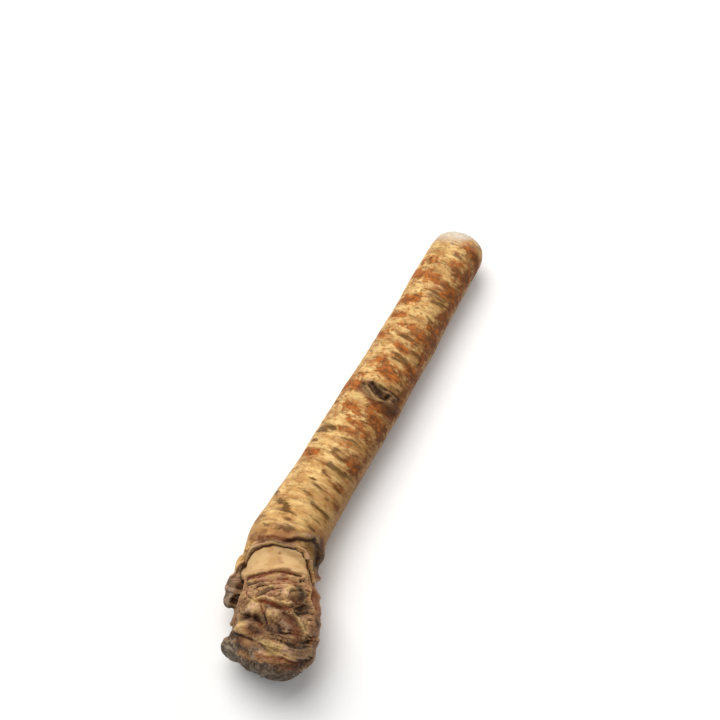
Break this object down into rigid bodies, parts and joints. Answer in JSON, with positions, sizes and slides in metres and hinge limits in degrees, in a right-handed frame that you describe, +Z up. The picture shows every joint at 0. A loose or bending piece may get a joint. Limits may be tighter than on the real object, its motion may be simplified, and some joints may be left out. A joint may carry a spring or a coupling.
{
  "type": "horseradish root",
  "caption": "Whole horseradish root lying on its side: a knotted, cut crown, a pale neck under a torn bark collar, and a long tapering shaft with side-root scars.",
  "frame": {"origin": "on the ground under the middle of the root's box", "axes": "+Y from the cut crown to the tip along the root, +Z up, +X to the inner side of its bend"},
  "size_m": [0.0632, 0.293, 0.0506],
  "materials": {
    "bark": "dry matt tan bark with rust-brown patches and grey-brown cross marks"
  },
  "bodies": {
    "root": {"horseradish_root": "bark"}
  },
  "joints": []
}
